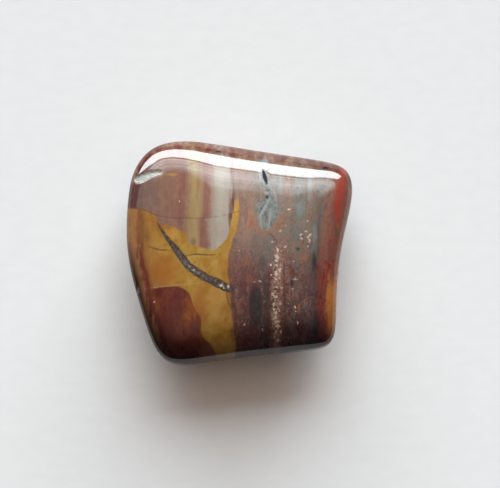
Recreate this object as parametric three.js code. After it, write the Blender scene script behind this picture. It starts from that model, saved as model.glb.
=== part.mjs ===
// A tumbled piece of tiger's eye with bands of ironstone: one smooth, lens-shaped pebble with four
// soft corners, a domed face, a rounded edge and a small worn flat that it rests on.
// Millimetres, +Z up. The origin is under the middle of the stone, on the flat.
import * as THREE from "three";

// The waist is the widest line round the stone. It is a closed uniform cubic B-spline, and these are
// its control points, x, y and z, from the left side over the far side to the right.
const WAIST = [
  [-11.7, 1.6, 7.3], [-11.5, 5.5, 7.1], [-11.1, 8.4, 7.0], [-9.3, 11.0, 6.9],
  [-6.2, 11.8, 6.5], [-3.0, 11.5, 6.1], [0.8, 10.9, 5.8], [5.0, 10.2, 6.0],
  [8.8, 9.6, 6.2], [11.3, 8.9, 6.2], [11.8, 6.5, 6.3], [11.1, 3.3, 6.5],
  [10.3, 0.0, 6.7], [9.9, -4.0, 6.9], [9.9, -7.9, 6.8], [9.4, -9.8, 6.6],
  [6.8, -10.1, 6.3], [2.9, -10.5, 6.1], [-1.4, -11.0, 6.0], [-5.4, -11.7, 6.3],
  [-7.8, -11.4, 6.7], [-9.1, -9.2, 7.3], [-10.1, -5.8, 7.5], [-11.2, -2.2, 7.5],
];
const CROWN_HEIGHT = 9.8; // the top of the domed face
const FLAT_SHARE = 0.36; // the flat's reach, as a share of the way out to the waist
// How much squarer than an ellipse the underside is, and how much more so under the corners, where
// the waist lies farthest out.
const UNDER_FULLNESS = 0.35;
const CORNER_FULLNESS = 0.9;
const SIDE_REACH = 11.0;
const CORNER_REACH = 14.0;

// Low swells and hollows of the domed face: middle x and y, reach, rise.
const FACE_SWELLS = [
  [-5.5, 3.5, 3.6, 0.08],
  [4.6, -4.2, 3.4, 0.06],
  [1.2, 3.6, 2.6, -0.08],
];
// The same for the underside, where the rise is downwards.
const UNDER_SWELLS = [
  [7.4, 5.6, 2.4, -0.45],
  [-7.2, -6.4, 2.6, -0.35],
  [-6.0, 7.6, 2.2, 0.25],
];

// The old chip on the far left shoulder, a shallow boat-shaped scoop in the face.
const CHIP = { x: -9.5, y: 8.05, angle: 16, halfLength: 1.15, halfWidth: 0.4, depth: 0.32 };

const SECTORS = 120; // steps round the stone
const FACE_RINGS = 20; // steps from the waist up to the crown
const UNDER_RINGS = 14; // steps from the waist down to the flat

// The point of the B-spline at a place counted in control points.
function onWaist(place) {
  const first = Math.floor(place);
  const t = place - first;
  const weights = [
    (1 - t) ** 3,
    3 * t ** 3 - 6 * t ** 2 + 4,
    -3 * t ** 3 + 3 * t ** 2 + 3 * t + 1,
    t ** 3,
  ];
  const point = new THREE.Vector3();
  weights.forEach((weight, k) => {
    const control = WAIST[(first + k - 1 + WAIST.length) % WAIST.length];
    point.add(new THREE.Vector3(...control).multiplyScalar(weight / 6));
  });
  return point;
}

// The sum of some swells over a point: each one is a bell curve of its reach.
function swell(list, x, y) {
  let rise = 0;
  for (const [midX, midY, reach, height] of list) {
    const apart = (x - midX) ** 2 + (y - midY) ** 2;
    rise += height * Math.exp(-apart / (2 * reach ** 2));
  }
  return rise;
}

// How deep the chip is under a point: a bell curve, longer along the chip than across it.
function chipDepth(x, y) {
  const turn = THREE.MathUtils.degToRad(CHIP.angle);
  const along = (x - CHIP.x) * Math.cos(turn) + (y - CHIP.y) * Math.sin(turn);
  const across = (y - CHIP.y) * Math.cos(turn) - (x - CHIP.x) * Math.sin(turn);
  const apart = (along / CHIP.halfLength) ** 2 + (across / CHIP.halfWidth) ** 2;
  return CHIP.depth * Math.exp(-apart);
}

// A point of the face. reach goes from 0 over the crown to 1 at the waist, and the height above the
// waist falls by a quarter of an ellipse.
function facePoint(edge, reach) {
  const x = edge.x * reach;
  const y = edge.y * reach;
  const rise = CROWN_HEIGHT + swell(FACE_SWELLS, x, y) - edge.z;
  const z = edge.z + rise * Math.sqrt(Math.max(0, 1 - reach ** 2)) - chipDepth(x, y);
  return new THREE.Vector3(x, y, z);
}

// A point of the underside. reach goes from 0 at the rim of the flat to 1 at the waist, and the
// stone hangs below the waist by an arch: an ellipse at first, and squarer towards the waist.
function underPoint(edge, reach) {
  const share = FLAT_SHARE + (1 - FLAT_SHARE) * reach;
  const x = edge.x * share;
  const y = edge.y * share;
  const out = Math.hypot(edge.x, edge.y);
  const corner = CORNER_FULLNESS * THREE.MathUtils.smoothstep(out, SIDE_REACH, CORNER_REACH);
  const power = 2 + (UNDER_FULLNESS + corner) * reach ** 4;
  const drop = Math.max(0, 1 - reach ** 2) ** (1 / power);
  const belly = swell(UNDER_SWELLS, x, y) * reach ** 2 * drop;
  return new THREE.Vector3(x, y, edge.z * (1 - drop) - belly);
}

// Rings of points from the crown over the waist to the flat, closed by a point at either end.
function stoneGeometry() {
  const edges = [];
  for (let s = 0; s < SECTORS; s++) edges.push(onWaist((s * WAIST.length) / SECTORS));

  const rings = [];
  for (let k = 1; k <= FACE_RINGS; k++) {
    const reach = Math.sin(((Math.PI / 2) * k) / FACE_RINGS);
    rings.push(edges.map((edge) => facePoint(edge, reach)));
  }
  for (let k = UNDER_RINGS - 1; k >= 0; k--) {
    const reach = Math.sin(((Math.PI / 2) * k) / UNDER_RINGS);
    rings.push(edges.map((edge) => underPoint(edge, reach)));
  }

  const crown = facePoint(edges[0], 0);
  const flatMiddle = new THREE.Vector3(0, 0, 0);
  const points = [crown, ...rings.flat(), flatMiddle];
  const last = points.length - 1;
  const at = (ring, s) => 1 + ring * SECTORS + (s % SECTORS);

  // The waist runs clockwise from above, so a face that turns from s + 1 to s points outwards.
  const faces = [];
  for (let s = 0; s < SECTORS; s++) {
    faces.push(0, at(0, s + 1), at(0, s));
    faces.push(last, at(rings.length - 1, s), at(rings.length - 1, s + 1));
    for (let ring = 0; ring + 1 < rings.length; ring++) {
      faces.push(at(ring, s), at(ring, s + 1), at(ring + 1, s + 1));
      faces.push(at(ring, s), at(ring + 1, s + 1), at(ring + 1, s));
    }
  }

  const geometry = new THREE.BufferGeometry();
  geometry.setAttribute(
    "position",
    new THREE.Float32BufferAttribute(points.flatMap((point) => point.toArray()), 3),
  );
  geometry.setIndex(faces);
  geometry.computeVertexNormals();
  return geometry;
}

const polishedStone = new THREE.MeshStandardMaterial({ color: 0x7c4a34, roughness: 0.12, metalness: 0 });
const stone = new THREE.Mesh(stoneGeometry(), polishedStone);
stone.name = "stone";

const group = new THREE.Group();
group.add(stone);

export default group;
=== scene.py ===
import math

import bpy
import numpy as np
from mathutils import Matrix, Vector


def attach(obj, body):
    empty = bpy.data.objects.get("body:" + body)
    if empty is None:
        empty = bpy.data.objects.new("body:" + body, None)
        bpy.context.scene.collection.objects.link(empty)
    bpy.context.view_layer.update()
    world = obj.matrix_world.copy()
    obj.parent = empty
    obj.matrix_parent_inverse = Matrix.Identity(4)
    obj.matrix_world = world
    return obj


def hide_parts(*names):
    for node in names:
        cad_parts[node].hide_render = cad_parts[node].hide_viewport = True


# A tumbled tiger's eye stone on pale paper, with a low window behind it.
# Sizes are millimetres until they go into a mesh or the camera, which are in metres.
MM = 0.001

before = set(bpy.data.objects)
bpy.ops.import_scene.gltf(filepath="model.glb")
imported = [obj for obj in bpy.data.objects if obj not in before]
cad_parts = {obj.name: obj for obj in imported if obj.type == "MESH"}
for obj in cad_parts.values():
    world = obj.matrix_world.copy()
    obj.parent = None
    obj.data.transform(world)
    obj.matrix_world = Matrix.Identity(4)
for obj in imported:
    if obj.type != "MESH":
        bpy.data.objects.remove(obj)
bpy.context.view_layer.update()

# The camera looks down on the stone from the near side.
PICTURE = (500, 488)
PIXELS_PER_MM = 9.71  # at the stone's waist
CAMERA_ELEVATION = math.radians(80)
CAMERA_DISTANCE = 300.0
AIM = np.array([1.06, 1.0, 5.7])
SENSOR = 36.0

TO_CAMERA = np.array([0.0, -math.cos(CAMERA_ELEVATION), math.sin(CAMERA_ELEVATION)])
PICTURE_RIGHT = np.array([1.0, 0.0, 0.0])
PICTURE_UP = np.cross(TO_CAMERA, PICTURE_RIGHT)


def make_camera():
    data = bpy.data.cameras.new("camera")
    data.sensor_width = SENSOR
    data.lens = SENSOR * PIXELS_PER_MM * CAMERA_DISTANCE / PICTURE[0]
    data.clip_start = 0.01
    camera = bpy.data.objects.new("camera", data)
    bpy.context.scene.collection.objects.link(camera)
    place = Matrix((PICTURE_RIGHT, PICTURE_UP, TO_CAMERA)).transposed().to_4x4()
    place.translation = Vector((AIM + TO_CAMERA * CAMERA_DISTANCE) * MM)
    camera.matrix_world = place
    bpy.context.scene.camera = camera


def in_picture(points):
    """The pixel where each point shows: its sideways and upward distance from the line of sight,
    over its distance from the camera."""
    from_camera = points - (AIM + TO_CAMERA * CAMERA_DISTANCE)
    scale = PIXELS_PER_MM * CAMERA_DISTANCE / -(from_camera @ TO_CAMERA)
    across = PICTURE[0] / 2 + from_camera @ PICTURE_RIGHT * scale
    down = PICTURE[1] / 2 - from_camera @ PICTURE_UP * scale
    return across, down


# The stone's form, with the same values as the solid that it replaces.
WAIST = np.array([
    (-11.7, 1.6, 7.3), (-11.5, 5.5, 7.1), (-11.1, 8.4, 7.0), (-9.3, 11.0, 6.9),
    (-6.2, 11.8, 6.5), (-3.0, 11.5, 6.1), (0.8, 10.9, 5.8), (5.0, 10.2, 6.0),
    (8.8, 9.6, 6.2), (11.3, 8.9, 6.2), (11.8, 6.5, 6.3), (11.1, 3.3, 6.5),
    (10.3, 0.0, 6.7), (9.9, -4.0, 6.9), (9.9, -7.9, 6.8), (9.4, -9.8, 6.6),
    (6.8, -10.1, 6.3), (2.9, -10.5, 6.1), (-1.4, -11.0, 6.0), (-5.4, -11.7, 6.3),
    (-7.8, -11.4, 6.7), (-9.1, -9.2, 7.3), (-10.1, -5.8, 7.5), (-11.2, -2.2, 7.5),
])
CROWN_HEIGHT = 9.8
FLAT_SHARE = 0.36
UNDER_FULLNESS = 0.35
CORNER_FULLNESS = 0.9
SIDE_REACH = 11.0
CORNER_REACH = 14.0

# Middle x and y, reach, rise.
FACE_SWELLS = [(-5.5, 3.5, 3.6, 0.08), (4.6, -4.2, 3.4, 0.06), (1.2, 3.6, 2.6, -0.08)]
UNDER_SWELLS = [(7.4, 5.6, 2.4, -0.45), (-7.2, -6.4, 2.6, -0.35), (-6.0, 7.6, 2.2, 0.25)]

# Pits in the face: middle x and y, angle in degrees, half length, half width, depth.
PITS = [
    (2.62, 7.85, -65, 0.42, 0.13, 0.03),
    (2.82, 5.85, 60, 0.17, 0.11, 0.03),
    (-10.42, -4.05, 80, 0.24, 0.14, 0.10),
    (-6.15, 5.4, 0, 0.11, 0.11, 0.04),
]
CHIP_DEPTH = 0.14
CHIP_WALL = (-0.6, 1.2)  # the wall's foot and top, in pixels into the chip's outline

SECTORS = 512
FACE_RINGS = 120
UNDER_RINGS = 64


def smooth_step(values, low, high):
    """0 below low and 1 above high, with a soft start and end between."""
    t = np.clip((values - low) / (high - low), 0, 1)
    return t * t * (3 - 2 * t)


def waist_points(count):
    """Points of the closed uniform cubic B-spline, evenly spaced in its control points: each is
    the blend of four neighbouring control points by the cubic's four weights."""
    place = np.arange(count) * len(WAIST) / count
    first = np.floor(place).astype(int)
    t = (place - first)[:, None]
    weights = [(1 - t) ** 3, 3 * t**3 - 6 * t**2 + 4, -3 * t**3 + 3 * t**2 + 3 * t + 1, t**3]
    return sum(w * WAIST[(first + k - 1) % len(WAIST)] for k, w in enumerate(weights)) / 6


def swell(swells, x, y):
    """The sum of bell curves over a point."""
    return sum(
        rise * np.exp(-((x - mid_x) ** 2 + (y - mid_y) ** 2) / (2 * reach**2))
        for mid_x, mid_y, reach, rise in swells
    )


def scoop(x, y, mid_x, mid_y, angle, half_length, half_width, depth):
    """A bell curve that is longer along its angle than across it."""
    turn = math.radians(angle)
    along = (x - mid_x) * math.cos(turn) + (y - mid_y) * math.sin(turn)
    across = (y - mid_y) * math.cos(turn) - (x - mid_x) * math.sin(turn)
    return depth * np.exp(-((along / half_length) ** 2) - (across / half_width) ** 2)


def stone_points():
    """Rings of points, each a copy of the waist drawn in towards the middle: from the crown down
    the domed face to the waist by quarter ellipses, and on under the belly to the rim of the
    flat by quarter ellipses that grow squarer towards the waist."""
    edge = waist_points(SECTORS)
    waist = edge[:, 2]

    reach = np.sin(np.linspace(0, math.pi / 2, FACE_RINGS + 1))[1:, None]
    x, y = reach * edge[:, 0], reach * edge[:, 1]
    z = waist + (CROWN_HEIGHT + swell(FACE_SWELLS, x, y) - waist) * np.sqrt(1 - reach**2)
    for pit in PITS:
        z = z - scoop(x, y, *pit)
    face = np.stack([x, y, z], -1)

    reach = np.sin(np.linspace(math.pi / 2, 0, UNDER_RINGS + 1))[1:, None]
    share = FLAT_SHARE + (1 - FLAT_SHARE) * reach
    x, y = share * edge[:, 0], share * edge[:, 1]
    out = np.hypot(edge[:, 0], edge[:, 1])
    corner = CORNER_FULLNESS * smooth_step(out, SIDE_REACH, CORNER_REACH)
    power = 2 + (UNDER_FULLNESS + corner) * reach**4
    drop = (1 - reach**2) ** (1 / power)
    z = waist * (1 - drop) - swell(UNDER_SWELLS, x, y) * reach**2 * drop
    under = np.stack([x, y, z], -1)

    crown = [[0, 0, CROWN_HEIGHT + swell(FACE_SWELLS, 0, 0)]]
    return np.concatenate([crown, face.reshape(-1, 3), under.reshape(-1, 3), [[0, 0, 0]]])


def stone_faces():
    """Squares between neighbouring rings, and a fan of triangles at the crown and on the flat.
    The waist runs clockwise from above, so this order turns the faces outwards."""
    rings = FACE_RINGS + UNDER_RINGS
    here = np.arange(SECTORS)
    following = (here + 1) % SECTORS
    start = 1 + np.arange(rings - 1)[:, None] * SECTORS
    squares = np.stack(
        [start + here, start + following, start + SECTORS + following, start + SECTORS + here], -1
    )
    last_ring = 1 + (rings - 1) * SECTORS
    flat_middle = 1 + rings * SECTORS
    cap = np.stack([0 * here, 1 + following, 1 + here], -1)
    foot = np.stack([flat_middle + 0 * here, last_ring + here, last_ring + following], -1)
    return squares.reshape(-1, 4).tolist() + cap.tolist() + foot.tolist()


# Where the stone's markings lie, in pixels of the photograph's 500 x 488 frame.
# The edge between the ochre side and the dark banded side, from the far edge down.
DIVIDE = [
    (235, 130), (237, 175), (239.4, 208), (237.8, 226), (232.2, 242), (228.2, 258), (226.6, 269),
    (229, 283), (229.8, 297), (231.4, 313), (233.8, 329), (235.4, 345), (235, 372),
]
GLITTER_LINE = [(280, 130), (279, 238), (277.5, 275), (275.5, 300), (277.5, 345), (278, 372)]
SLATE_LINE = [(322, 130), (320, 190), (318, 220), (316, 250), (313, 290), (312, 372)]
RED_LINE = [
    (333, 130), (330.4, 182), (323, 201), (322.3, 223), (319.4, 250), (316.4, 268), (315, 294),
    (315.7, 320), (318, 372),
]
RIGHT_SIDE = [
    (345, 130), (350, 172), (352.1, 188.6), (349.5, 214.2), (345.4, 235.4), (340.5, 254),
    (338.5, 271.4), (337.3, 289.4), (336.6, 309.8), (336.1, 330.6), (335, 372),
]
# The place of each of those lines in the banding, which runs from 0 at the divide to 1.
BANDING = [
    (0.0, DIVIDE), (0.4, GLITTER_LINE), (0.78, SLATE_LINE), (0.85, RED_LINE), (1.0, RIGHT_SIDE),
]

LEFT_SIDE = [
    (152, 130), (149.1, 152.6), (140.7, 161), (134.5, 173.3), (130.7, 188.6), (128.4, 207.7),
    (127.3, 230.7), (127.7, 250), (129.9, 265.3), (135.3, 288.3), (139.9, 307.4), (145.3, 326.5),
    (150, 338.3), (153.8, 347.9), (159.6, 355.5), (165, 372),
]
FAR_SIDE = [
    (120, 175), (134.5, 173.3), (140.7, 161), (149.1, 152.6), (159.8, 145.7), (172, 142),
    (182.8, 141.1), (196.5, 141.7), (211.8, 144.9), (240, 148.8), (278.3, 154.1), (305, 157.8),
    (328, 161.8), (339.5, 165.6), (347.1, 171), (354, 180),
]
NEAR_SIDE = [
    (120, 262), (127.7, 275), (135.3, 291), (145.3, 326.5), (153.8, 347.9), (165.9, 361.9),
    (180.6, 366.4), (213.8, 362.5), (250, 358), (282, 354.8), (310.2, 351), (327.7, 346.8),
    (335.5, 338), (350, 334),
]

# The healed crack across the ochre side; the stripes are shifted along it.
FAULT = [
    (120, 205), (136.8, 208.5), (143, 209.6), (150.6, 213), (156.7, 215.4), (169.7, 217.7),
    (185, 218.4), (204.2, 218), (215.7, 216.9), (227.1, 214.6), (240, 210.8),
]
FAULT_SHIFT = 2.5
FAULT_HALF_WIDTH = 0.55
MAUVE_FIELD = [
    (110, 120), (110, 207), (136.8, 208.5), (143, 209.6), (150.6, 213), (156.2, 215.6),
    (157.5, 222.6), (162.9, 225), (172, 226), (178.2, 230), (184.3, 232), (188.1, 235),
    (186.6, 240), (188.1, 244.4), (196.5, 246), (204.2, 248.3), (210.3, 250.6), (218, 248.3),
    (222.5, 243.7), (227.1, 238.3), (230.2, 230.7), (231, 223), (232.5, 214), (235, 204),
    (242, 197), (242, 120),
]
BROWN_FIELD = [
    (151.5, 288), (161.3, 286.9), (176.6, 285.6), (185.8, 289), (190.8, 294.6), (192.5, 303.6),
    (197, 310.8), (200.8, 320), (200.6, 329), (203, 338), (214, 346), (222, 375), (120, 375),
    (126, 318), (138, 308), (148, 300),
]
VEIN = [
    (157.2, 222.5), (162.9, 232), (167.4, 239), (173.6, 246), (178, 252), (181.6, 256.8),
    (186.6, 264), (193.5, 270), (200.4, 274.2), (208, 278.8), (215.7, 282), (221.8, 285.4),
    (229.2, 288.6),
]
# The vein's half width at even steps along it.
VEIN_HALF_WIDTH = [0.5, 1.2, 2.2, 3.4, 3.7, 4.0, 4.1, 3.9, 4.2, 4.0]
TWIGS = [
    [(173, 250.4), (165.9, 250.2), (158.3, 249.8), (152, 247.5), (146.8, 246)],
    [(185, 255.8), (190, 255.2), (195, 253.8), (202.7, 254.6), (211.8, 255), (215.9, 254.2)],
    [(226.4, 290), (226.6, 296), (229.4, 305), (231, 311)],
]
CHIP_FIELD = [
    (133.6, 178.4), (135, 182.6), (141, 182.4), (147, 179.6), (151, 176.4), (156.7, 174.4),
    (163.4, 172.6), (159, 170.6), (150.6, 171.0), (142, 173.8),
]
CHIP_CRACK = [(162, 172), (166, 172.5), (177.4, 170.2), (185, 166.4), (192.7, 163.3), (200.3, 161)]
HAIRLINE = [(143.3, 288.9), (152.9, 287.5), (162.9, 286.7), (176.6, 285.2), (196.5, 283)]

LENS_FIELD = [
    (269, 193), (273.5, 196), (279, 203), (280.6, 210), (278.8, 218), (274.6, 225), (269.5, 230.5),
    (262.5, 230.5), (259, 225), (256, 217), (255.6, 209), (259.0, 202), (264, 198),
]
LENS_FEEDER = [(259.6, 160), (262.0, 171.6), (266.6, 183), (270.3, 194), (271.0, 200)]
LENS_FEEDER_HALF_WIDTH = 3.4
# The slash, a pit whose shade is painted near black.
LENS_SLASH = [(262.8, 170), (264.8, 177), (267.0, 184)]
LENS_LIGHTS = [
    [(271.4, 194), (266, 206), (260.2, 214.2), (260.3, 221), (262, 230.5)],
    [(271, 208), (269.8, 220), (267.5, 230.5)],
    [(262.4, 172), (265.6, 181), (271.5, 190)],
    [(258.8, 166), (259.4, 174), (262.6, 184)],
    [(272, 189), (275.6, 194), (276.4, 201)],
]
LENS_DARKS = [
    [(263.4, 204.5), (259.0, 213.7)],
    [(266.8, 211), (265.4, 219)],
    [(261.6, 178), (262.6, 188)],
]
THREADS = [
    [(267.6, 231), (272.6, 236), (277.6, 243.6)],
    [(282.6, 252), (284.0, 262), (284.3, 289.4), (285.4, 330)],
]

RED_STREAK = [(343.4, 168), (341.8, 182), (339.6, 196), (337.8, 208), (337, 223)]

# The marks that are drawn as lines, each with its half width.
LINES = {
    "twigs": (TWIGS, 0.75),
    "chip_crack": ([CHIP_CRACK], 0.8),
    "hairline": ([HAIRLINE], 0.35),
    "lens_lights": (LENS_LIGHTS, 1.3),
    "lens_slash": ([LENS_SLASH], 2.3),
    "lens_darks": (LENS_DARKS, 0.9),
    "threads": (THREADS, 0.8),
    "red_streak": ([RED_STREAK], 5.2),
}

# Blots of one colour each: middle, half width across, half height, strength.
DARK_BLOTS = [
    (218.2, 151.8, 3.2, 1.1, 0.9), (325.7, 168.0, 3.6, 1.4, 0.8), (292.0, 283.2, 2.0, 3.2, 0.9),
    (265.0, 177.2, 1.5, 4.4, 1.0), (267.0, 197.0, 1.7, 1.7, 1.0), (255.5, 306.0, 6.4, 19.0, 1.1),
    (297.8, 249.0, 2.0, 2.4, 0.7), (297.4, 188.0, 1.0, 1.6, 0.8), (262.0, 262.0, 5.0, 8.0, 0.4),
    (268.0, 300.0, 4.0, 30.0, 0.35), (297.0, 328.0, 2.6, 2.6, 0.6), (302.6, 236.6, 1.0, 1.0, 0.7),
    (314.5, 262.0, 3.4, 12.0, 0.55), (316.0, 326.0, 3.5, 14.0, 0.6), (233.0, 334.0, 3.0, 9.0, 0.6),
    (306.0, 322.0, 5.0, 10.0, 0.15), (250.0, 338.0, 12.0, 8.0, 0.3),
]
BLUE_BLOTS = [
    (280.4, 186.0, 2.4, 15.0, 0.62), (310.0, 187.0, 2.8, 17.0, 0.66), (265.0, 161.5, 3.4, 3.0, 1.0),
    (314.5, 236.0, 3.2, 12.0, 0.45), (300.4, 209.0, 4.6, 8.0, 0.6), (294.0, 198.0, 2.6, 12.0, 0.35),
]
SLATE_BLOTS = [
    (300.5, 212.0, 5.0, 7.0, 0.7), (291.0, 231.0, 8.0, 5.5, 0.6), (280.0, 236.0, 4.0, 4.0, 0.5),
    (302.0, 198.0, 4.0, 5.0, 0.5), (314.5, 226.0, 3.2, 26.0, 0.75), (312.5, 248.0, 4.0, 6.0, 0.6),
    (321.0, 208.0, 2.2, 18.0, 0.5), (252.0, 192.0, 3.0, 4.0, 0.4), (291.0, 220.0, 4.0, 6.0, 0.4),
    (257.0, 296.0, 2.4, 12.0, 0.35), (258.5, 252.0, 3.0, 3.0, 0.4),
]
RUST_BLOTS = [
    (304.5, 257.0, 5.0, 4.4, 0.75),
    (302.6, 268.0, 1.6, 6.0, 0.6), (251.6, 224.0, 2.2, 8.0, 0.8), (250.0, 210.0, 2.0, 12.0, 0.4),
    (298.8, 309.0, 1.8, 4.4, 0.8), (248.0, 262.0, 4.0, 5.0, 0.6), (242.0, 258.0, 5.0, 4.0, 0.4),
    (161.0, 283.4, 5.4, 1.4, 0.9), (315.6, 215.0, 4.0, 6.0, 0.6), (250.0, 280.0, 6.0, 3.0, 0.5),
    (261.0, 233.6, 4.6, 1.6, 0.5), (338.0, 226.0, 1.8, 4.0, 0.6), (302.0, 247.0, 5.0, 3.0, 0.4),
    (137.0, 182.6, 3.0, 1.0, 0.9), (241.0, 305.0, 5.0, 10.0, 0.35), (304.6, 302.0, 1.2, 2.0, 0.6),
]
MAROON_BLOTS = [
    (177.6, 304.0, 4.2, 18.0, 0.9), (157.5, 292.5, 5.0, 4.0, 0.7), (199.4, 322.0, 1.8, 8.0, 0.9),
    (206.0, 252.0, 4.0, 3.0, 0.3), (166.0, 326.0, 9.0, 20.0, 0.75), (197.8, 324.0, 3.0, 10.0, 0.9),
    (147.0, 236.0, 4.0, 12.0, 0.45), (205.8, 180.0, 2.4, 5.0, 0.3), (208.0, 244.0, 4.0, 4.0, 0.4),
    (232.6, 203.0, 1.3, 9.0, 0.8), (231.0, 216.4, 1.3, 3.4, 0.9), (193.6, 241.6, 3.0, 4.0, 0.6),
    (208.6, 150.0, 4.0, 1.8, 0.8), (231.5, 155.0, 3.6, 2.6, 0.7), (137.0, 300.0, 3.0, 22.0, 0.4),
    (241.0, 284.0, 6.0, 6.0, 0.4), (300.0, 288.0, 5.0, 14.0, 0.25),
]
ORANGE_BLOTS = [
    (200.0, 308.0, 7.5, 20.0, 1.0), (165.0, 270.0, 16.0, 14.0, 0.78),
    (196.0, 262.0, 8.0, 5.0, 0.35), (228.6, 292.0, 1.4, 8.0, 0.7), (201.0, 334.0, 6.0, 5.0, 0.5),
    (188.0, 312.0, 6.0, 17.0, 0.55),
]
YELLOW_BLOTS = [
    (172.0, 234.0, 8.0, 6.0, 0.75), (216.0, 300.0, 10.0, 18.0, 0.9), (216.0, 264.0, 9.0, 8.0, 0.3),
    (162.0, 250.0, 9.0, 5.0, 0.4), (236.4, 207.0, 2.2, 9.0, 0.9), (172.0, 174.4, 6.0, 1.6, 0.7),
    (222.0, 312.0, 6.0, 14.0, 0.5), (200.0, 250.0, 8.0, 2.4, 0.3), (186.0, 248.0, 6.0, 5.0, 0.4),
]
PALE_BLOTS = [
    (179.6, 201.6, 1.0, 1.0, 0.8), (154.0, 302.0, 1.2, 0.9, 0.9), (138.4, 292.4, 1.9, 2.6, 0.7),
    (221.0, 285.6, 2.6, 1.5, 0.9), (223.8, 287.6, 1.6, 1.2, 0.8), (228.4, 286.4, 1.6, 2.0, 0.8),
    (193.6, 270.2, 3.0, 1.8, 0.6), (190.0, 266.4, 2.2, 2.0, 0.55), (198.0, 273.6, 2.6, 1.4, 0.5),
    (207.0, 280.0, 2.0, 1.0, 0.4),
    (270.7, 264.8, 1.2, 1.3, 1.0), (244.0, 237.4, 1.0, 3.4, 0.4), (154.6, 287.6, 3.4, 0.7, 0.7),
]
# Painted glints of broken fibres, drawn as pale blots.
GLINTS = [
    (277.4, 248.8, 1.2, 3.0, 0.9), (277.0, 256.3, 1.7, 2.6, 1.0), (276.2, 260.6, 1.4, 1.5, 1.0),
    (276.6, 265.2, 1.7, 1.2, 1.0), (279.8, 270.3, 1.7, 2.0, 1.0), (276.2, 273.2, 1.5, 2.6, 1.0),
    (271.0, 275.0, 0.9, 1.5, 0.7), (275.9, 279.0, 1.6, 1.1, 0.9), (278.8, 278.2, 2.3, 0.9, 0.8),
    (277.0, 287.3, 2.1, 1.0, 0.9), (281.8, 287.8, 1.2, 1.2, 0.7), (281.8, 291.8, 1.3, 1.5, 0.6),
    (273.0, 294.0, 1.8, 1.5, 1.0), (275.4, 296.8, 1.9, 1.3, 1.0), (280.2, 303.4, 1.6, 1.6, 0.8),
    (273.9, 304.3, 1.3, 2.0, 0.9), (273.9, 309.6, 1.2, 1.7, 1.0), (275.8, 313.0, 1.6, 2.0, 1.0),
    (278.6, 310.6, 1.6, 1.1, 0.8), (275.7, 317.2, 1.3, 1.8, 1.0), (273.5, 319.0, 0.9, 1.5, 0.7),
    (276.6, 321.4, 2.4, 1.2, 1.0), (277.9, 326.0, 2.2, 1.2, 1.0), (275.6, 332.4, 1.1, 2.2, 0.75),
    (281.0, 331.4, 1.1, 2.2, 0.75), (277.8, 340.5, 1.5, 2.0, 0.9), (285.0, 246.6, 1.5, 0.9, 0.9),
    (272.3, 241.7, 1.3, 1.0, 0.9), (308.6, 237.0, 1.6, 1.5, 0.9), (310.4, 234.4, 1.7, 1.3, 1.0),
    (306.3, 231.4, 1.4, 1.2, 0.8), (309.5, 240.6, 1.1, 2.0, 0.9), (307.8, 246.4, 1.0, 1.3, 0.7),
    (300.7, 234.5, 1.7, 1.6, 0.7), (301.5, 238.6, 1.4, 1.3, 0.7), (280.2, 230.6, 1.4, 1.0, 0.9),
    (289.3, 209.2, 1.8, 1.0, 0.8), (307.4, 220.8, 1.4, 1.2, 0.7), (285.8, 225.6, 1.1, 1.5, 0.6),
    (259.8, 281.0, 1.7, 1.0, 0.9), (255.2, 281.8, 2.4, 0.8, 0.6), (236.7, 291.0, 2.2, 0.8, 0.6),
    (238.6, 251.0, 1.8, 0.9, 0.6), (293.2, 261.6, 1.5, 1.2, 0.7), (295.4, 279.4, 1.5, 1.2, 0.7),
    (292.8, 289.0, 1.5, 0.9, 0.6), (295.2, 307.2, 0.9, 1.8, 0.9), (295.9, 311.6, 0.9, 1.3, 0.7),
    (297.6, 322.4, 0.9, 1.5, 0.9), (244.6, 324.0, 1.4, 2.2, 0.5), (262.8, 329.0, 1.0, 3.0, 0.5),
    (288.0, 303.0, 1.2, 1.0, 0.5), (283.4, 259.0, 1.0, 1.4, 0.6), (290.6, 256.0, 1.0, 1.0, 0.5),
]

BLOTS = {
    "dark_blots": DARK_BLOTS,
    "blue_blots": BLUE_BLOTS,
    "slate_blots": SLATE_BLOTS,
    "rust_blots": RUST_BLOTS,
    "maroon_blots": MAROON_BLOTS,
    "orange_blots": ORANGE_BLOTS,
    "yellow_blots": YELLOW_BLOTS,
    "pale_blots": PALE_BLOTS,
    "glints": GLINTS,
}

# Under this height, in millimetres, the bands lean sideways by so many pixels a millimetre.
WAIST_MIDDLE = 6.4
BAND_LEAN = 3.4

# The single marks fade out, and the painted shade along the near edge too, in millimetres under
# that height.
MARKS_FADE = (0.3, 2.2)
DARKNESS_FADES = (3.0, 0.8)
# The painted shade along the near edge deepens in pixels from it, and sooner by some pixels at the
# left corner, which is found by its place in the banding.
NEAR_DARKENING = (44, 4)
CORNER_SOONER = 5
LEFT_CORNER = (0.1, 0.4)
# So many pixels outside a mark nothing of it shows.
BEYOND = 9.0


def soften(path, closed):
    """Corner cutting, three times: each corner gives way to points a quarter of the way along
    its two sides."""
    points = np.array(path, float)
    for _ in range(3):
        ahead = np.roll(points, -1, 0)
        cut = np.stack([0.75 * points + 0.25 * ahead, 0.25 * points + 0.75 * ahead], 1)
        if closed:
            points = cut.reshape(-1, 2)
        else:
            points = np.concatenate([points[:1], cut[:-1].reshape(-1, 2), points[-1:]])
    return points


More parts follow.
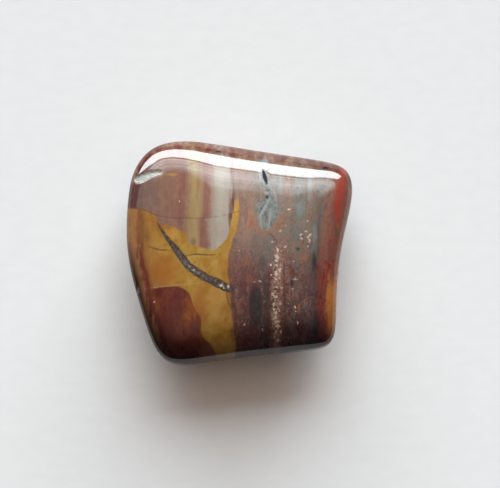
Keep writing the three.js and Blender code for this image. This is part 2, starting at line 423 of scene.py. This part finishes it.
def from_path(across, down, path, closed=False):
    """The distance from each point to a softened path, and how far along the path the nearest
    place is, from 0 to 1."""
    points = soften(path, closed)
    ends = np.roll(points, -1, 0)
    if not closed:
        points, ends = points[:-1], ends[:-1]
    lengths = np.hypot(*(ends - points).T)
    travelled = np.concatenate([[0], np.cumsum(lengths)])
    nearest = np.full(across.shape, np.inf)
    along = np.zeros(across.shape)
    for start, end, length, before in zip(points, ends, lengths, travelled):
        step = end - start
        t = ((across - start[0]) * step[0] + (down - start[1]) * step[1]) / length**2
        t = np.clip(t, 0, 1)
        distance = np.hypot(across - start[0] - t * step[0], down - start[1] - t * step[1])
        closer = distance < nearest
        nearest = np.where(closer, distance, nearest)
        along = np.where(closer, (before + t * length) / travelled[-1], along)
    return nearest, along


def into_field(across, down, outline):
    """The distance to a closed softened outline, positive inside: a point is inside where a line
    from it to the right crosses the outline an odd number of times."""
    distance, _ = from_path(across, down, outline, closed=True)
    points = soften(outline, True)
    inside = np.zeros(across.shape, bool)
    for (x0, y0), (x1, y1) in zip(points, np.roll(points, -1, 0)):
        if y0 == y1:
            continue
        spans = (down > y0) != (down > y1)
        inside ^= spans & (across < x0 + (down - y0) / (y1 - y0) * (x1 - x0))
    return np.where(inside, distance, -distance)


def at_height(down, path):
    """The path's sideways place at each height in the picture."""
    xs, ys = np.array(path, float).T
    return np.interp(down, ys, xs)


def at_width(across, path):
    """The path's height in the picture at each sideways place."""
    xs, ys = np.array(path, float).T
    return np.interp(across, xs, ys)


def blots(across, down, spots):
    """The strongest of some soft-edged oval blots over each point: a blot's strength falls as a
    bell curve with a flatter top."""
    strength = np.zeros(across.shape)
    for mid_x, mid_y, half_width, half_height, height in spots:
        apart = ((across - mid_x) / half_width) ** 2 + ((down - mid_y) / half_height) ** 2
        strength = np.maximum(strength, height * np.exp(-(apart**1.5) * 0.7))
    return strength


def paths_mark(across, down, paths, half_width):
    """How far inside the nearest of some lines each point is, thinning to the lines' ends."""
    best = np.full(across.shape, -BEYOND)
    for path in paths:
        distance, along = from_path(across, down, path)
        taper = 0.45 + 0.55 * np.sin(math.pi * np.clip(along, 0.02, 0.98))
        best = np.maximum(best, half_width * taper - distance)
    return best


def markings(points):
    """What the material reads at each point of the stone, by name. Distances are in pixels."""
    across, down = in_picture(points)
    below_waist = np.clip(WAIST_MIDDLE - points[:, 2], 0, None)
    across = across + BAND_LEAN * below_waist

    band_at = [place for place, _ in BANDING]
    lines = np.stack([at_height(down, line) for _, line in BANDING])
    banding = (across - lines[0]) / 100
    for k in range(len(BANDING) - 1):
        t = (across - lines[k]) / (lines[k + 1] - lines[k])
        inner = band_at[k] + t * (band_at[k + 1] - band_at[k])
        last = k == len(BANDING) - 2
        banding = np.where((t >= 0) & ((t < 1) | last), inner, banding)

    from_fault, _ = from_path(across, down, FAULT)
    below_fault = down > at_width(across, FAULT)
    vein_distance, along_vein = from_path(across, down, VEIN)
    steps = np.linspace(0, 1, len(VEIN_HALF_WIDTH))
    vein = np.interp(along_vein, steps, VEIN_HALF_WIDTH) - vein_distance

    # The near edge's painted shade, deepening towards the near edge of the picture.
    sooner = CORNER_SOONER * smooth_step(-banding, *LEFT_CORNER)
    near_share = smooth_step(at_width(across, NEAR_SIDE) - down - sooner, *NEAR_DARKENING)
    marks = {
        "banding": banding,
        "across": across + FAULT_SHIFT * below_fault,
        "down": down,
        "from_left": across - at_height(down, LEFT_SIDE),
        "from_far": down - at_width(across, FAR_SIDE),
        "near_edge": near_share * smooth_step(below_waist, *DARKNESS_FADES),
        "mauve": into_field(across, down, MAUVE_FIELD),
        "brown": into_field(across, down, BROWN_FIELD),
    }

    # The single marks of the face end a little under the waist.
    ended = smooth_step(below_waist, *MARKS_FADE)
    feeder = paths_mark(across, down, [LENS_FEEDER], LENS_FEEDER_HALF_WIDTH)
    single_marks = {
        "chip": into_field(across, down, CHIP_FIELD),
        "lens": np.maximum(into_field(across, down, LENS_FIELD), feeder),
        "fault": FAULT_HALF_WIDTH - from_fault,
        "vein": vein,
    }
    for name, (paths, half_width) in LINES.items():
        single_marks[name] = paths_mark(across, down, paths, half_width)
    for name, inside in single_marks.items():
        marks[name] = inside - BEYOND * ended
    for name, spots in BLOTS.items():
        marks[name] = blots(across, down, spots) * (1 - ended)
    return marks


def make_stone():
    """The stone's surface, with its marks. The chip's floor is let in by its depth."""
    points = stone_points()
    marks = markings(points)
    on_face = np.arange(len(points)) < 1 + FACE_RINGS * SECTORS
    points[:, 2] -= CHIP_DEPTH * smooth_step(marks["chip"], *CHIP_WALL) * on_face
    mesh = bpy.data.meshes.new("tumbled_stone")
    mesh.from_pydata((points * MM).tolist(), [], stone_faces())
    mesh.shade_smooth()
    for name, values in marks.items():
        mark = mesh.attributes.new(name, "FLOAT", "POINT")
        mark.data.foreach_set("value", values.astype(np.float32))
    mesh.update()
    stone = bpy.data.objects.new("tumbled_stone", mesh)
    bpy.context.scene.collection.objects.link(stone)
    return stone


# Materials. Colours are written as they look in the photograph on a level part, from 0 to 255.
# LIGHT_LEVEL is the light there, where 1 shows a white surface as white, and HAZE is what the
# polish adds to it.
LIGHT_LEVEL = 1.21
HAZE = (0.014, 0.012, 0.009)


def tint(red, green, blue):
    """The reflectance behind a colour: its linear value less the haze, over the light on it."""
    values = [v / 255 for v in (red, green, blue)]
    linear = [v / 12.92 if v <= 0.04045 else ((v + 0.055) / 1.055) ** 2.4 for v in values]
    return [max(v - haze, 0.002) / LIGHT_LEVEL for v, haze in zip(linear, HAZE)] + [1]


class Number:
    """A number's socket. An expression on it adds Math nodes to its tree."""

    def __init__(self, nodes, socket):
        self.nodes = nodes
        self.socket = socket

    def __add__(self, other):
        return self.nodes.maths("ADD", self, other)

    def __sub__(self, other):
        return self.nodes.maths("SUBTRACT", self, other)

    def __rsub__(self, other):
        return self.nodes.maths("SUBTRACT", other, self)

    def __mul__(self, other):
        return self.nodes.maths("MULTIPLY", self, other)

    def __truediv__(self, other):
        return self.nodes.maths("DIVIDE", self, other)

    __radd__ = __add__
    __rmul__ = __mul__


class Nodes:
    """One node tree, of a material or of the world."""

    def __init__(self, tree):
        self.tree = tree
        tree.nodes.clear()

    def add(self, kind, settings=None, inputs=None):
        """A new node of a kind. Its settings are set first, then its sockets' values or links."""
        node = self.tree.nodes.new(kind)
        for name, value in (settings or {}).items():
            if name == "stops":
                ramp = node.color_ramp
                while len(ramp.elements) < len(value):
                    ramp.elements.new(0.5)
                for element, (place, colour) in zip(ramp.elements, value):
                    element.position, element.color = place, colour
            else:
                setattr(node, name, value)
        for name, value in (inputs or {}).items():
            value = getattr(value, "socket", value)
            if isinstance(value, bpy.types.NodeSocket):
                self.tree.links.new(value, node.inputs[name])
            else:
                node.inputs[name].default_value = value
        return node

    def number(self, node, output=0):
        return Number(self, node.outputs[output])

    def maths(self, operation, first, second=0.0):
        node = self.add("ShaderNodeMath", {"operation": operation}, {0: first, 1: second})
        return self.number(node)

    def step(self, value, low, high):
        """0 below low and 1 above high, or the other way round where high is the lower."""
        inputs = {"Value": value, "From Min": low, "From Max": high}
        node = self.add("ShaderNodeMapRange", {"interpolation_type": "SMOOTHSTEP"}, inputs)
        return self.number(node)

    def blend(self, factor, first, second, how="MIX"):
        """Two colours mixed, by the factor."""
        settings = {"data_type": "RGBA", "blend_type": how}
        node = self.add("ShaderNodeMix", settings, {0: factor, 6: first, 7: second})
        return node.outputs[2]

    def ramp(self, value, stops):
        """A colour for each value from 0 to 1."""
        ramp = self.add("ShaderNodeValToRGB", {"stops": stops}, {"Fac": value})
        return ramp.outputs["Color"]

    def stretch(self, vector, factors):
        settings = {"operation": "MULTIPLY"}
        return self.add("ShaderNodeVectorMath", settings, {0: vector, 1: factors}).outputs[0]

    def shade(self, colour, brightness):
        """A colour times a brightness."""
        inputs = {0: colour, "Scale": brightness}
        return self.add("ShaderNodeVectorMath", {"operation": "SCALE"}, inputs).outputs[0]

    def noise(self, vector, scale, detail=2.0, roughness=0.5, distortion=0.0):
        """Soft noise about 0.5."""
        inputs = {
            "Vector": vector, "Scale": scale, "Detail": detail,
            "Roughness": roughness, "Distortion": distortion,
        }
        return self.number(self.add("ShaderNodeTexNoise", {}, inputs), "Fac")

    def mark(self, name):
        settings = {"attribute_type": "GEOMETRY", "attribute_name": name}
        return self.number(self.add("ShaderNodeAttribute", settings), "Fac")


def new_material(name):
    material = bpy.data.materials.new(name)
    material.use_nodes = True
    return material, Nodes(material.node_tree)


def object_place(nodes):
    """A point's place on its object, in millimetres."""
    coordinates = nodes.add("ShaderNodeTexCoord")
    return nodes.stretch(coordinates.outputs["Object"], (1 / MM, 1 / MM, 1 / MM))


def finish_material(nodes, inputs):
    shader = nodes.add("ShaderNodeBsdfPrincipled", {}, inputs)
    nodes.add("ShaderNodeOutputMaterial", {}, {"Surface": shader.outputs[0]})


POLISH = 0.045  # the roughness of the polished stone

# Soft steps down the picture, in pixels: from where a thing starts to where it is full.
LOWER_HALF = (216, 290)
AMBER_STARTS = (264, 290)
# Painted shade over the dark side towards the near edge:
NEAR_PAINTED_SHADE = (285, 325)
LEFT_RIM_STARTS = (206, 211)
LEFT_RIM_STRONGER = (222, 262)
LEFT_RIM_DARKER = (292, 345)
SEAM_STARTS = (208, 228)
GLITTER_STARTS = (238, 256)
HALO_STARTS = (208, 222)
AMBER_STRIP_ENDS = (340, 320)
# The same across the picture.
FAR_EDGE_DARKER = (270, 330)

# The colours across the dark bands, over the upper half of the face and over the lower half.
UPPER_BANDS = [
    (0.00, tint(138, 112, 98)), (0.05, tint(140, 114, 101)), (0.11, tint(148, 122, 107)),
    (0.17, tint(127, 114, 104)), (0.35, tint(129, 122, 114)), (0.42, tint(136, 116, 104)),
    (0.47, tint(139, 119, 106)), (0.53, tint(127, 114, 102)), (0.60, tint(121, 120, 113)),
    (0.70, tint(134, 116, 102)), (0.76, tint(122, 107, 96)), (0.80, tint(112, 102, 96)),
    (0.85, tint(138, 106, 95)), (0.90, tint(146, 102, 90)), (0.94, tint(126, 84, 75)),
    (1.00, tint(136, 98, 80)),
]
LOWER_BANDS = [
    (0.00, tint(108, 76, 62)), (0.07, tint(112, 74, 72)), (0.13, tint(102, 68, 68)),
    (0.18, tint(114, 69, 68)), (0.24, tint(94, 72, 70)), (0.30, tint(86, 67, 67)),
    (0.36, tint(104, 71, 67)), (0.42, tint(113, 75, 67)), (0.47, tint(112, 76, 70)),
    (0.51, tint(98, 72, 68)), (0.57, tint(100, 77, 72)), (0.65, tint(96, 71, 68)),
    (0.75, tint(93, 73, 73)), (0.81, tint(84, 75, 73)), (0.87, tint(114, 68, 61)),
    (0.91, tint(124, 68, 61)), (0.96, tint(122, 72, 62)), (1.00, tint(130, 86, 68)),
]
# The colours across the far half of the ochre side, by pixels from the left.
STRIPES_FROM, STRIPES_TO = 135.0, 240.0
STRIPES = [
    (137, tint(126, 106, 100)), (150, tint(132, 106, 97)), (161, tint(142, 108, 92)),
    (177, tint(142, 101, 86)), (184, tint(134, 92, 84)), (192, tint(164, 138, 96)),
    (198, tint(168, 143, 100)), (205, tint(142, 98, 86)), (208.5, tint(146, 102, 92)),
    (214.5, tint(170, 156, 140)), (220, tint(178, 168, 156)), (229, tint(172, 160, 148)),
    (232, tint(124, 92, 84)), (236, tint(150, 128, 112)),
]


def banded_side(nodes, place, mark):
    """The dark side's colour: two rows of bands that run into each other, with streaks along the
    bands, red and slate clouds, darker hollows, thin pale strands and painted shade towards the
    near edge."""
    streaks = nodes.noise(nodes.stretch(place, (2.0, 0.2, 0.2)), 1.0, 5.0, 0.6)
    waver = nodes.noise(nodes.stretch(place, (0.35, 0.22, 0.3)), 1.0, 3.0, 0.5)
    crumbs = nodes.noise(nodes.stretch(place, (1.0, 0.6, 0.8)), 2.3, 5.0, 0.62, 1.0)
    worms = nodes.noise(nodes.stretch(place, (0.8, 1.0, 1.0)), 4.2, 2.0, 0.5, 2.2)
    shifted = mark["banding"]
    for wandering in (waver, streaks, crumbs):
        shifted = shifted + (wandering - 0.5) * 0.08
    upper = nodes.ramp(shifted, UPPER_BANDS)
    lower = nodes.ramp(shifted, LOWER_BANDS)
    ragged = mark["down"] + (crumbs - 0.5) * 60 + (streaks - 0.5) * 60
    lower_share = nodes.step(ragged, *LOWER_HALF)
    colour = nodes.blend(lower_share, upper, lower)

    # Drawn-out clouds, slate in one place and iron red in the next.
    clouds = nodes.noise(nodes.stretch(place, (1.0, 0.36, 0.5)), 1.5, 5.0, 0.66, 1.4)
    clouding = nodes.ramp(clouds, [
        (0.34, (0.42, 0.57, 0.60, 1)), (0.43, (0.80, 0.90, 0.90, 1)), (0.52, (1, 0.96, 0.93, 1)),
        (0.60, (0.95, 0.55, 0.49, 1)), (0.69, (0.50, 0.25, 0.25, 1)),
    ])
    cloud_share = 0.6 + lower_share * 0.35
    colour = nodes.shade(nodes.blend(cloud_share, colour, clouding, "MULTIPLY"), 1.13)
    fingers = (streaks - 0.5) * 36 + (crumbs - 0.5) * 24
    amber = nodes.step(shifted, 0.9, 0.95) * nodes.step(mark["down"] + fingers, *AMBER_STARTS)
    colour = nodes.blend(amber * (0.66 + streaks * 0.44), colour, tint(178, 114, 60))
    hollows = nodes.step(crumbs * 0.4 + worms * 0.6, 0.48, 0.36)
    hollow_share = hollows * (0.3 + lower_share * 0.3)
    colour = nodes.blend(hollow_share, colour, (0.55, 0.42, 0.42, 1), "MULTIPLY")
    strands = nodes.step(nodes.maths("ABSOLUTE", worms - 0.5), 0.06, 0.012)
    strewn = nodes.step(crumbs + (streaks - 0.5) * 0.6, 0.46, 0.62) * nodes.step(shifted, 0.82, 0.7)
    colour = nodes.blend(strands * strewn * 0.46, colour, tint(196, 158, 142))
    # Painted shade: the dark side grows darker towards the near edge, where little light falls.
    near_painted_shade = nodes.step(mark["down"], *NEAR_PAINTED_SHADE) * 0.24
    return nodes.shade(colour, 0.92 + streaks * 0.2 - near_painted_shade), crumbs, worms, strands


def ochre_side(nodes, place, mark):
    """The golden side's colour: clouded ochre, with the grey-mauve striped field over its far
    half, the brown field at its near corner and streaks along its left rim."""
    clouds = nodes.noise(place, 0.34, 3.0, 0.5, 0.4)
    mottle = nodes.noise(nodes.stretch(place, (1.0, 0.7, 0.8)), 1.5, 4.0, 0.55, 0.3)
    grains = nodes.noise(place, 5.0, 4.0, 0.6)
    streaks = nodes.noise(nodes.stretch(place, (2.2, 0.2, 0.2)), 1.0, 4.0, 0.55)

    gold = nodes.ramp(clouds * 0.5 + mottle * 0.5, [
        (0.32, tint(150, 96, 42)), (0.43, tint(168, 120, 50)), (0.52, tint(178, 136, 60)),
        (0.62, tint(188, 152, 80)), (0.72, tint(164, 118, 52)),
    ])
    # Browner towards the left rim.
    browner = nodes.step(mark["from_left"] + (streaks - 0.5) * 30, 44, 14)
    gold = nodes.blend(browner * 0.6, gold, tint(164, 114, 70))

    wobble = (mottle - 0.5) * 5.0 + (grains - 0.5) * 2.5
    stripe_place = (mark["across"] + (streaks - 0.5) * 11 + wobble * 0.7 - STRIPES_FROM) / (
        STRIPES_TO - STRIPES_FROM
    )
    stops = [((x - STRIPES_FROM) / (STRIPES_TO - STRIPES_FROM), colour) for x, colour in STRIPES]
    stripes = nodes.ramp(stripe_place, stops)
    stripes = nodes.blend(nodes.step(streaks, 0.5, 0.7) * 0.22, stripes, tint(112, 74, 62))
    stripes = nodes.blend(nodes.step(mottle, 0.44, 0.66) * 0.2, stripes, tint(178, 140, 112))
    colour = nodes.blend(nodes.step(mark["mauve"] + wobble * 0.5, -0.9, 1.1), gold, stripes)

    patch = nodes.ramp(mottle * 0.6 + streaks * 0.4, [
        (0.36, tint(92, 44, 40)), (0.46, tint(112, 53, 42)), (0.56, tint(118, 62, 44)),
        (0.68, tint(104, 48, 42)),
    ])
    colour = nodes.blend(nodes.step(mark["brown"] + wobble * 0.4, -0.8, 1.2), colour, patch)

    # The left rim's streaks, maroon and rusty in turn.
    rim_place = (mark["from_left"] + (streaks - 0.5) * 16 + (mottle - 0.5) * 8) / 30
    rim = nodes.ramp(rim_place, [
        (0.00, tint(132, 86, 64)), (0.12, tint(170, 120, 84)), (0.24, tint(168, 120, 88)),
        (0.34, tint(128, 74, 60)), (0.42, tint(116, 61, 52)), (0.52, tint(134, 84, 60)),
        (0.66, tint(152, 104, 68)), (1.00, tint(154, 106, 60)),
    ])
    near_rim = nodes.step(mark["from_left"] + (streaks - 0.5) * 10, 22, 13)
    below_field = nodes.step(mark["down"], *LEFT_RIM_STARTS)
    streaked_down = mark["down"] + (streaks - 0.5) * 30
    stronger_below = 0.55 + nodes.step(streaked_down, *LEFT_RIM_STRONGER) * 0.45
    colour = nodes.blend(near_rim * below_field * stronger_below, colour, rim)
    dark_rim = nodes.step(mark["from_left"] + wobble * 0.5, 9.6, 7.0) * (1 - below_field)
    colour = nodes.blend(dark_rim * 0.75, colour, tint(98, 54, 53))
    lowest = nodes.step(streaked_down, *LEFT_RIM_DARKER) * near_rim
    colour = nodes.blend(lowest * 0.5, colour, tint(60, 38, 34))
    return nodes.shade(colour, 0.88 + grains * 0.24), mottle, wobble


# For each kind of blot, how far it covers what is under it, and its colour.
BLOT_COLOURS = {
    "orange_blots": (0.7, tint(168, 95, 38)),
    "yellow_blots": (0.7, tint(200, 152, 78)),
    "maroon_blots": (0.7, tint(98, 48, 44)),
    "rust_blots": (0.6, tint(162, 100, 66)),
    "slate_blots": (0.6, tint(118, 122, 116)),
    "blue_blots": (0.7, tint(146, 156, 158)),
}


def stone_material():
    material, nodes = new_material("polished_stone")
    place = object_place(nodes)
    names = [
        "banding", "across", "down", "from_left", "from_far", "near_edge", "mauve", "brown",
        "chip", "lens", "fault", "vein", *LINES, *BLOTS,
    ]
    mark = {name: nodes.mark(name) for name in names}

    dark, crumbs, worms, strands = banded_side(nodes, place, mark)
    gold, mottle, wobble = ochre_side(nodes, place, mark)
    fine = nodes.noise(place, 9.0, 3.0, 0.65)
    grit = nodes.noise(place, 3.2, 4.0, 0.6)

    # The ochre side ends in a ragged edge, with a thin rusty seam along it.
    side = mark["banding"] * 100 + wobble * 0.9
    colour = nodes.blend(nodes.step(side, -0.9, 1.1), gold, dark)
    seam = nodes.step(side, -9, -2) * nodes.step(side, 3.0, 0.0)
    seam = seam * nodes.step(mark["down"], *SEAM_STARTS)
    colour = nodes.blend(seam * 0.22, colour, tint(160, 100, 46))

    # The far edge, over the shoulder, is rusty with paler and darker patches, darker on the right.
    far_patches = nodes.noise(nodes.stretch(place, (1.2, 0.5, 0.6)), 1.0, 4.0, 0.62)
    far_colour = nodes.ramp(far_patches, [
        (0.34, tint(70, 40, 43)), (0.44, tint(106, 56, 50)), (0.53, tint(120, 76, 60)),
        (0.62, tint(142, 114, 98)), (0.72, tint(84, 50, 50)),
    ])
    far_colour = nodes.shade(far_colour, 1.05 - nodes.step(mark["across"], *FAR_EDGE_DARKER) * 0.3)
    over_edge = nodes.step(mark["from_far"] + wobble, 15, 6)
    colour = nodes.blend(over_edge * 0.8, colour, far_colour)

    # Blots of one colour each, broken up by the crumbs.
    broken = 0.4 + crumbs * 1.2
    for name, (cover, blot_colour) in BLOT_COLOURS.items():
        blot = nodes.step(mark[name] * broken + (mottle - 0.5) * 0.7, 0.08, 0.9)
        colour = nodes.blend(blot * cover, colour, blot_colour)
    red = nodes.step(mark["red_streak"] + (crumbs - 0.5) * 7, -2.2, 4.0)
    colour = nodes.blend(red * 0.82, colour, tint(170, 72, 58))

    # Painted glints: the glitter of broken fibres painted as pale colour, one band of strands with
    # brighter clusters in it.
    off_band = nodes.maths("ABSOLUTE", mark["banding"] - 0.405 + (crumbs - 0.5) * 0.06)
    on_band = nodes.step(off_band, 0.06, 0.02) * nodes.step(mark["down"], *GLITTER_STARTS)
    colour = nodes.blend(on_band * 0.4, colour, tint(104, 62, 54))
    glint = nodes.step(mark["glints"] + (worms - 0.5) * 1.8 + (fine - 0.5) * 1.5, 0.34, 0.66)
    glint = glint * nodes.step(mark["glints"], 0.04, 0.25)
    in_clumps = nodes.step(crumbs, 0.38, 0.54)
    fleck = nodes.maths("MAXIMUM", glint * 0.9, strands * on_band * in_clumps * 0.9)
    colour = nodes.blend(fleck * 0.9, colour, tint(226, 198, 178))

    # The slate lens and what feeds it, with its light and dark streaks and a rusty halo.
    halo = nodes.step(mark["lens"] + (crumbs - 0.5) * 8, -9, -3)
    halo = halo * nodes.step(mark["down"], *HALO_STARTS)
    colour = nodes.blend(halo * 0.44, colour, tint(170, 114, 82))
    in_lens = nodes.step(mark["lens"] + (crumbs - 0.5) * 7, -1.2, 2.2)
    lens_colour = nodes.ramp(worms * 0.5 + crumbs * 0.5, [
        (0.38, tint(96, 100, 98)), (0.5, tint(126, 132, 128)), (0.62, tint(148, 154, 148)),
    ])
    colour = nodes.blend(in_lens * 0.85, colour, lens_colour)
    lens_light = nodes.step(mark["lens_lights"] + (fine - 0.5) * 2.6, -0.6, 1.3)
    colour = nodes.blend(lens_light * 0.55, colour, tint(174, 182, 182))
    lens_dark = nodes.step(mark["lens_darks"] + (fine - 0.5) * 2.4, -0.5, 1.1)
    colour = nodes.blend(lens_dark * 0.75, colour, tint(62, 60, 64))
    # Painted shade: the slash is a shallow pit, painted near black for the shade inside it.
    slash = nodes.step(mark["lens_slash"] + (fine - 0.5) * 1.6, -0.3, 0.8)
    colour = nodes.blend(slash * 0.95, colour, tint(30, 30, 30))
    spot = nodes.step(mark["dark_blots"] * broken + (fine - 0.5) * 0.4, 0.12, 0.8)
    colour = nodes.blend(spot * 0.8, colour, tint(44, 47, 48))

    # The dark vein, with a few pale grains in it whose glints are painted in, and its twigs.
    vein_edge = mark["vein"] + 0.2 + (mottle - 0.5) * 2.4 + (fine - 0.5) * 1.6 + (grit - 0.5) * 3.4
    in_vein = nodes.step(vein_edge, -0.7, 0.8)
    in_middle = nodes.step(mark["vein"], 0.8, 3.4)
    vein_colour = nodes.ramp(grit * 0.6 + crumbs * 0.4 + in_middle * 0.05, [
        (0.36, tint(62, 50, 44)), (0.50, tint(80, 68, 60)), (0.60, tint(104, 92, 84)),
        (0.69, tint(146, 134, 126)),
    ])
    colour = nodes.blend(in_vein, colour, vein_colour)
    thin_lines = [
        ("twigs", 0.8, 0.85, tint(92, 74, 52)),
        ("fault", 0.9, 0.5, tint(92, 68, 56)),
        ("threads", 0.9, 0.55, tint(76, 58, 42)),
        ("chip_crack", 0.9, 0.6, tint(110, 94, 82)),
        ("hairline", 0.9, 0.5, tint(216, 178, 140)),
    ]
    for name, fray, cover, line_colour in thin_lines:
        line = nodes.step(mark[name] + (fine - 0.5) * fray, -0.5, 0.5)
        colour = nodes.blend(line * cover, colour, line_colour)
    # Pale grains, partly painted glints.
    pale = nodes.step(mark["pale_blots"] + (worms - 0.5) * 0.9, 0.4, 0.75)
    colour = nodes.blend(pale * 0.9, colour, tint(226, 210, 192))

    # Painted shade: the colour darkens to nearly black down the near edge, the side away from the
    # window, partly over the stone's own darker rim; the amber strip is spared.
    left_corner = nodes.step(side, -18, -45)
    near_shade_colour = nodes.blend(left_corner, tint(76, 60, 48), tint(40, 31, 31))
    near_shade_colour = nodes.blend(nodes.step(side, -2, 2), near_shade_colour, tint(37, 33, 37))
    amber_strip = nodes.step(mark["banding"], 0.88, 0.96)
    amber_strip = amber_strip * nodes.step(mark["down"], *AMBER_STRIP_ENDS)
    near_shade_cover = 0.72 + left_corner * 0.12 - amber_strip * 0.5
    colour = nodes.blend(mark["near_edge"] * near_shade_cover, colour, near_shade_colour)

    # The chip's broken, unpolished floor, paler than the stone, with the window light it catches
    # partly painted in as pale colour.
    in_chip = nodes.step(mark["chip"] + (fine - 0.5) * 2.8, -0.8, 0.9)
    chip_colour = nodes.ramp(fine, [
        (0.34, tint(124, 118, 106)), (0.46, tint(176, 178, 168)), (0.62, tint(208, 210, 202)),
    ])
    colour = nodes.blend(in_chip, colour, chip_colour)

    roughness = POLISH + in_chip * 0.5 + slash * 0.95 + pale * 0.2 + fleck * 0.12 + in_vein * 0.05
    height = fine * in_chip * 3 + nodes.noise(place, 0.8, 2.0) * 0.25
    bump = nodes.add("ShaderNodeBump", {}, {"Strength": 0.3, "Distance": 0.00005, "Height": height})
    finish_material(nodes, {
        "Base Color": colour, "Roughness": roughness, "IOR": 1.54, "Normal": bump.outputs[0],
    })
    return material


def paper_material():
    material, nodes = new_material("paper")
    place = object_place(nodes)
    fibres = nodes.noise(nodes.stretch(place, (0.5, 1.0, 1)), 1.0, 3.0)
    colour = nodes.ramp(fibres, [(0.3, tint(243, 244, 245)), (0.7, tint(246, 247, 248))])
    finish_material(nodes, {"Base Color": colour, "Roughness": 0.9, "Specular IOR Level": 0.1})
    return material


FLOOR_REACH = 600.0


def make_floor():
    half = FLOOR_REACH * MM
    corners = [(-half, -half, 0), (half, -half, 0), (half, half, 0), (-half, half, 0)]
    mesh = bpy.data.meshes.new("floor")
    mesh.from_pydata(corners, [], [(0, 1, 2, 3)])
    floor = bpy.data.objects.new("floor", mesh)
    bpy.context.scene.collection.objects.link(floor)
    mesh.materials.append(paper_material())


# The room in degrees: elevations over the paper, and azimuths counted from the far side towards
# the left. A strength of 1 shows as white. The polish mirrors the window and its curtain, and what
# falls on matt surfaces is the daylight that comes in through them.
# Each opening's edges, and how far each edge softens to either side.
WINDOW = {"low": (16, 0.6), "high": (34, 0.8), "left": (58, 2), "right": (-48, 2)}
CURTAIN = {"low": (36, 1), "high": (52, 6), "left": (46, 4), "right": (-57, 8)}
DAYLIGHT = {"low": (6, 2), "high": (58, 4), "left": (31, 19), "right": (-39, 7)}
WINDOW_STRENGTH = 15.0
CURTAIN_STRENGTH = 5.2
# The daylight is strong when it comes in low, and weaker above these elevations.
DAYLIGHT_STRENGTH = 13.0
WEAKER_STRENGTH = 5.0
WEAKER_ABOVE = (10, 26)
# Lowered upper edges: the azimuths where this starts and is full, and by how much.
WINDOW_LOWERED = [(34, 66, 15), (-32, -56, 9)]
CURTAIN_LOWERED = (-10, 8, 5)
CEILING_FROM = (48, 68)
CEILING_STRENGTH = {"mirrored": 0.45, "matt": 0.9}
NEAR_WALL = 0.03
FAR_WALL = 0.12
BACKDROP = 0.82
COOL = (0.95, 1.04, 1.08, 1)
WARM = (1.0, 0.78, 0.64, 1)


def opening(nodes, elevation, azimuth, edges, lowered=0):
    """1 inside an opening of the room and 0 outside it, with its upper edge lowered."""

    def within(value, edge, inwards):
        middle, soft = edges[edge]
        return nodes.step(value, middle - inwards * soft, middle + inwards * soft)

    return (
        within(elevation, "low", 1) * within(elevation + lowered, "high", -1)
        * within(azimuth, "left", -1) * within(azimuth, "right", 1)
    )


def make_room():
    """A bright window low over the far side with a paler curtain above it, a dim warm ceiling and
    a dark near side. What the camera sees of it directly is a plain pale backdrop."""
    world = bpy.data.worlds.new("room")
    bpy.context.scene.world = world
    world.use_nodes = True
    nodes = Nodes(world.node_tree)
    direction = nodes.add("ShaderNodeTexCoord").outputs["Generated"]
    parts = nodes.add("ShaderNodeSeparateXYZ", {}, {0: direction})
    right, back, up = (nodes.number(parts, axis) for axis in "XYZ")
    degrees = 180 / math.pi
    elevation = nodes.maths("ARCSINE", up) * degrees
    azimuth = nodes.maths("ARCTAN2", 0 - right, back) * degrees
    path = nodes.add("ShaderNodeLightPath")
    seen = nodes.number(path, "Is Camera Ray")
    mirrored = nodes.number(path, "Is Glossy Ray")
    matt = 1 - mirrored

    # The window's upper edge comes down towards its ends, and the curtain is shorter on the left.
    at_left, at_right = (
        nodes.step(azimuth, starts, full) * drop for starts, full, drop in WINDOW_LOWERED
    )
    window = opening(nodes, elevation, azimuth, WINDOW, at_left + at_right)
    starts, full, drop = CURTAIN_LOWERED
    shorter = nodes.step(azimuth, starts, full) * drop
    stretched = nodes.add("ShaderNodeCombineXYZ", {}, {0: elevation * 0.5, 1: azimuth * 0.02})
    folds = nodes.noise(stretched.outputs[0], 1.0, 3.0) * 2.4 - 0.2
    curtain = opening(nodes, elevation, azimuth, CURTAIN, shorter) * folds
    daylight = opening(nodes, elevation, azimuth, DAYLIGHT)

    loss = DAYLIGHT_STRENGTH - WEAKER_STRENGTH
    falling = DAYLIGHT_STRENGTH - nodes.step(elevation, *WEAKER_ABOVE) * loss
    ceiling = nodes.step(elevation, *CEILING_FROM)
    far = nodes.step(back, -0.1, 0.6)
    light = (
        NEAR_WALL + far * (FAR_WALL - NEAR_WALL)
        + mirrored * (window * WINDOW_STRENGTH + curtain * CURTAIN_STRENGTH)
        + matt * daylight * falling
        + ceiling * (mirrored * CEILING_STRENGTH["mirrored"] + matt * CEILING_STRENGTH["matt"])
    )
    cool = nodes.step(mirrored * (window + curtain) + matt * daylight, 0.0, 0.3)
    colour = nodes.blend(seen, nodes.blend(cool, WARM, COOL), (1, 1, 1, 1))
    shown = light + seen * (BACKDROP - light)
    background = nodes.add("ShaderNodeBackground", {}, {"Color": colour, "Strength": shown})
    nodes.add("ShaderNodeOutputWorld", {}, {"Surface": background.outputs[0]})


make_camera()
bpy.context.scene.view_settings.view_transform = "Standard"
make_floor()
make_room()

stone = make_stone()
stone.data.materials.append(stone_material())
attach(stone, "root")
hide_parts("stone")
